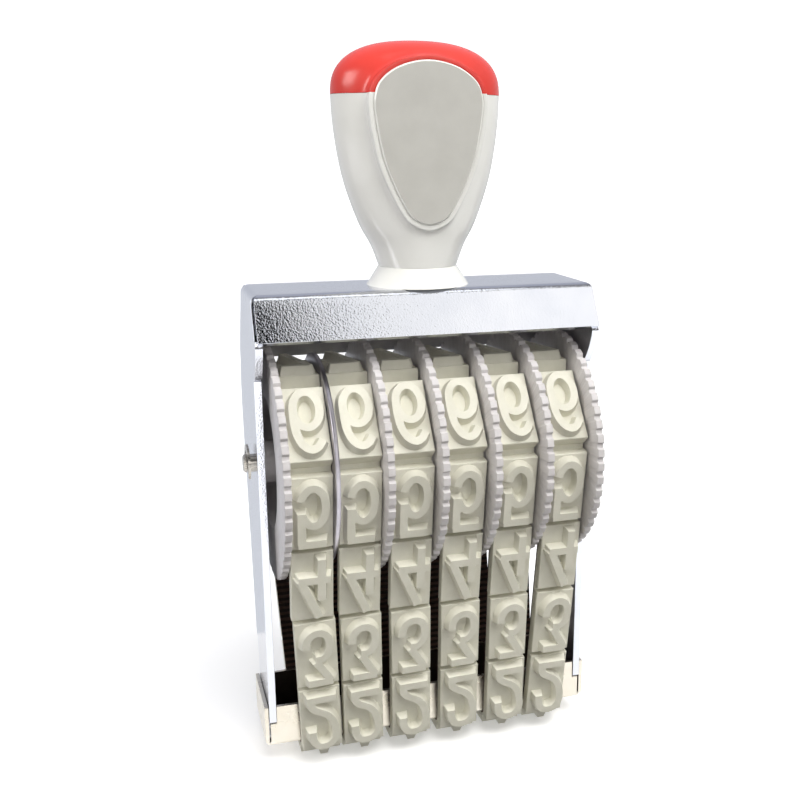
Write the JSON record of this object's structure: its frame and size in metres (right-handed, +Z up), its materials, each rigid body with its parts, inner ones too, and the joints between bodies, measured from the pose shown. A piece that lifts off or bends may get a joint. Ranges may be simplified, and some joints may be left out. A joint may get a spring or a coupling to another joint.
{
  "type": "self-standing band numbering stamp",
  "caption": "Hand numbering stamp: thumbwheels turn large-digit rubber bands over a bridge in a bent steel yoke, under a capped handle.",
  "frame": {"origin": "on the ground below the middle of the stamp, which stands on the raised numerals it prints", "axes": "+X along the axle to the right as seen from the front, -Y the front, +Z up through the handle"},
  "size_m": [0.0804, 0.0524, 0.1596],
  "materials": {
    "chromed_steel": "satin chrome",
    "nickelled_steel": "nickel plated",
    "steel": "turned",
    "band_rubber": "moulded, matt",
    "wheel_plastic": "moulded, satin",
    "white_plastic": "moulded, gloss",
    "red_plastic": "moulded, gloss",
    "grey_plastic": "moulded, fine spark texture"
  },
  "bodies": {
    "frame": {"yoke": "chromed_steel", "bridge": "nickelled_steel", "axle": "steel", "axle_ring_left": "steel", "axle_ring_right": "steel", "separator": "steel", "band_1": "band_rubber", "band_2": "band_rubber", "band_3": "band_rubber", "band_4": "band_rubber", "band_5": "band_rubber", "band_6": "band_rubber", "handle_body": "white_plastic", "handle_cap": "red_plastic", "panel_front": "grey_plastic", "panel_back": "grey_plastic", "collar": "white_plastic", "stud": "steel", "washer": "steel", "nut": "steel"},
    "wheel_1": {"thumbwheel_1": "wheel_plastic"},
    "wheel_2": {"thumbwheel_2": "wheel_plastic"},
    "wheel_3": {"thumbwheel_3": "wheel_plastic"},
    "wheel_4": {"thumbwheel_4": "wheel_plastic"},
    "wheel_5": {"thumbwheel_5": "wheel_plastic"},
    "wheel_6": {"thumbwheel_6": "wheel_plastic"}
  },
  "joints": [
    {"name": "wheel_1_turn", "type": "hinge", "parent": "frame", "child": "wheel_1", "pos_m": [0, 0, 0.07], "axis": [1, 0, 0], "continuous": true},
    {"name": "wheel_2_turn", "type": "hinge", "parent": "frame", "child": "wheel_2", "pos_m": [0, 0, 0.07], "axis": [1, 0, 0], "continuous": true},
    {"name": "wheel_3_turn", "type": "hinge", "parent": "frame", "child": "wheel_3", "pos_m": [0, 0, 0.07], "axis": [1, 0, 0], "continuous": true},
    {"name": "wheel_4_turn", "type": "hinge", "parent": "frame", "child": "wheel_4", "pos_m": [0, 0, 0.07], "axis": [1, 0, 0], "continuous": true},
    {"name": "wheel_5_turn", "type": "hinge", "parent": "frame", "child": "wheel_5", "pos_m": [0, 0, 0.07], "axis": [1, 0, 0], "continuous": true},
    {"name": "wheel_6_turn", "type": "hinge", "parent": "frame", "child": "wheel_6", "pos_m": [0, 0, 0.07], "axis": [1, 0, 0], "continuous": true}
  ]
}
